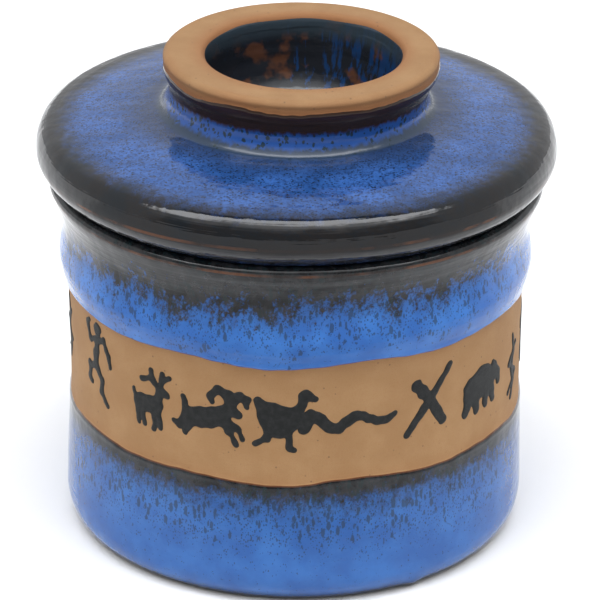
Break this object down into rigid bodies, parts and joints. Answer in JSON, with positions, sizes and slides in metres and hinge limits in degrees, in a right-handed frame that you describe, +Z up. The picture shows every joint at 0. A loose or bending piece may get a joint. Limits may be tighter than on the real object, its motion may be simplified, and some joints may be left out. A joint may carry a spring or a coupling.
{
  "type": "butter crock",
  "caption": "Round stoneware butter crock: a water pot with a loose lid that carries an open-mouthed butter bell below and a ring foot above.",
  "frame": {"origin": "centre of the pot's standing ring, on the surface that it rests on", "axes": "+Z up along the turning axis, from the pot's foot to the ring on the lid; the part is round, so X and Y are free"},
  "size_m": [0.113, 0.113, 0.1084],
  "materials": {
    "pot_glaze": "glossy mottled blue glaze breaking to near black at edges, over a bare tan clay band with small black slip figures",
    "lid_glaze": "glossy dark blue speckled glaze, near black round the rim",
    "bare_clay": "bare tan stoneware, fine grained and matt, with a glazed lower edge"
  },
  "bodies": {
    "crock": {"crock_pot": "pot_glaze"},
    "lid": {"lid_flange": "lid_glaze", "lid_foot_ring": "bare_clay", "butter_bell": "lid_glaze"}
  },
  "joints": [
    {"name": "lid_lift", "type": "slide", "parent": "crock", "child": "lid", "axis": [0, 0, 1], "range_m": [0, 0.085]}
  ]
}
